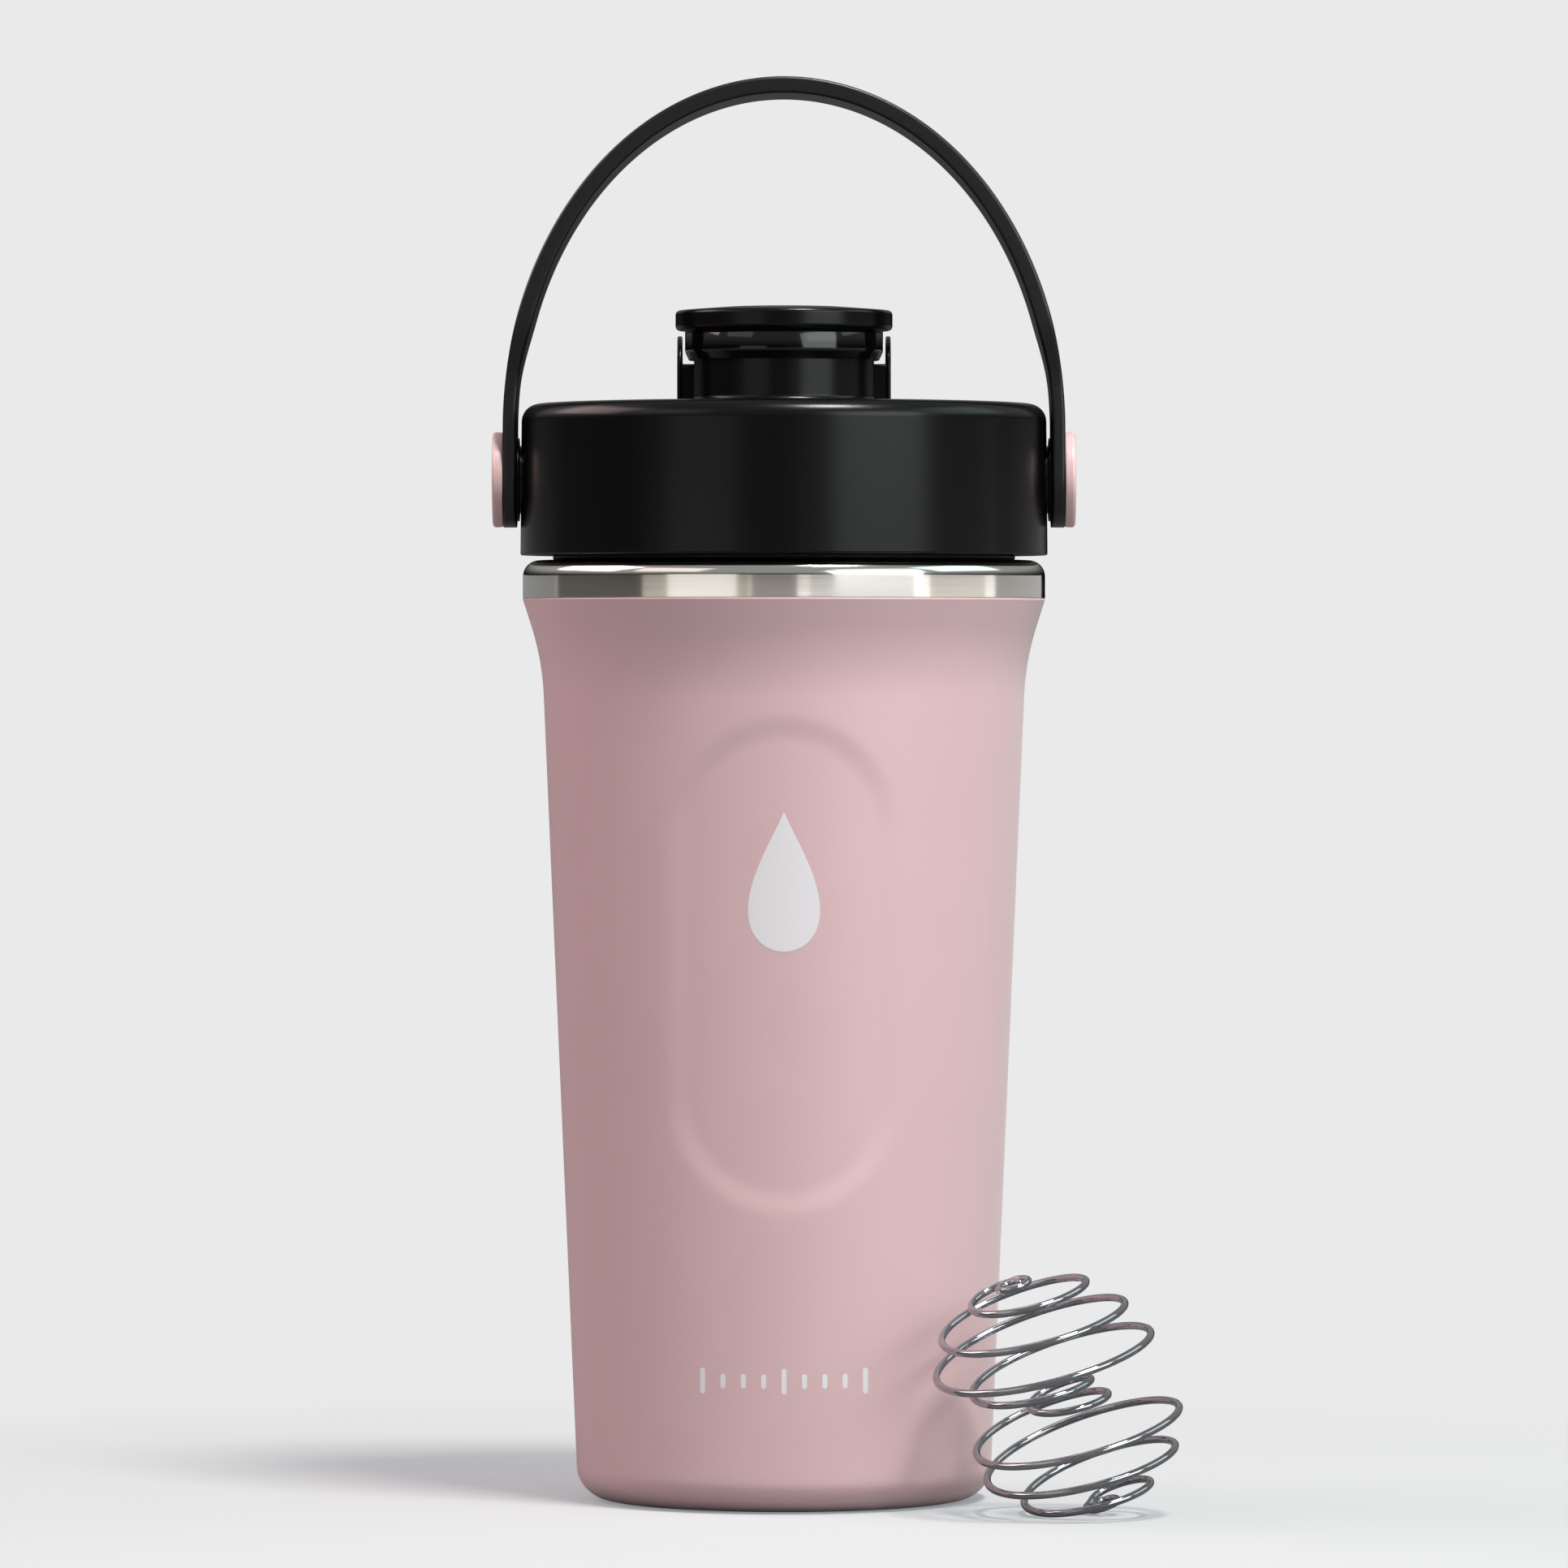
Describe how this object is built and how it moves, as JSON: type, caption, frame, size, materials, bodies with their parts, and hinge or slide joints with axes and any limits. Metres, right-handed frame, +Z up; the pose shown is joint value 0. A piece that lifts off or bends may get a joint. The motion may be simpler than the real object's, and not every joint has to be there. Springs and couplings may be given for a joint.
{
  "type": "shaker bottle",
  "caption": "Insulated steel protein shaker bottle with screw lid, flip cap over a spout, rubber carry strap and a loose wire whisk ball.",
  "frame": {"origin": "centre of the flat base, on the surface that the bottle stands on", "axes": "+Z up along the bottle's axis, -Y towards the front with the spout, +X to the right seen from the front"},
  "size_m": [0.1229, 0.1086, 0.2554],
  "materials": {
    "powder_coat": "fine powder coat, matt",
    "rim_steel": "polished stainless steel",
    "liner_steel": "electropolished stainless steel",
    "getter_metal": "sintered, dull",
    "lid_plastic": "satin moulded polypropylene",
    "cap_gloss": "polished moulded plastic",
    "strap_rubber": "satin flexible rubber",
    "silicone": "soft silicone",
    "button_plastic": "glossy, slightly translucent",
    "whisk_wire": "polished stainless wire"
  },
  "bodies": {
    "vessel": {"outer_shell": "powder_coat", "rim_band": "rim_steel", "inner_liner": "liner_steel", "jacket_floor": "liner_steel", "vacuum_seal": "liner_steel", "getter": "getter_metal", "base_cap": "powder_coat"},
    "seal_ring": {"lid_gasket": "silicone"},
    "lid": {"lid_shell": "lid_plastic", "lid_plug": "lid_plastic", "cap_hinge_pin": "liner_steel", "pivot_bush_left": "lid_plastic", "pivot_bush_right": "lid_plastic", "pivot_button_left": "button_plastic", "pivot_button_right": "button_plastic"},
    "cap": {"cap_cover": "lid_plastic", "cap_skirt": "cap_gloss", "cap_seal": "silicone"},
    "strap": {"carry_strap": "strap_rubber"},
    "whisk": {"whisk_ball": "whisk_wire"}
  },
  "joints": [
    {"name": "lid_lift", "type": "slide", "parent": "vessel", "child": "seal_ring", "axis": [0, 0, 1], "range_m": [0, 0.0151]},
    {"name": "lid_turn", "type": "hinge", "parent": "seal_ring", "child": "lid", "pos_m": [0, 0, 0.169], "axis": [0, 0, 1], "range_deg": [0, 900]},
    {"name": "cap_flip", "type": "hinge", "parent": "lid", "child": "cap", "pos_m": [0, 0.0116, 0.2026], "axis": [-1, 0, 0], "range_deg": [0, 130]},
    {"name": "strap_swing", "type": "hinge", "parent": "lid", "child": "strap", "pos_m": [0, 0, 0.1834], "axis": [1, 0, 0], "range_deg": [-120, 120]},
    {"name": "whisk_slide", "type": "slide", "parent": "vessel", "child": "whisk", "axis": [0.779, -0.627, 0], "range_m": [0, 0.08]}
  ],
  "couplings": [
    {"joint": "lid_lift", "follows": "lid_turn", "m_per_rad": 0.00095493}
  ]
}
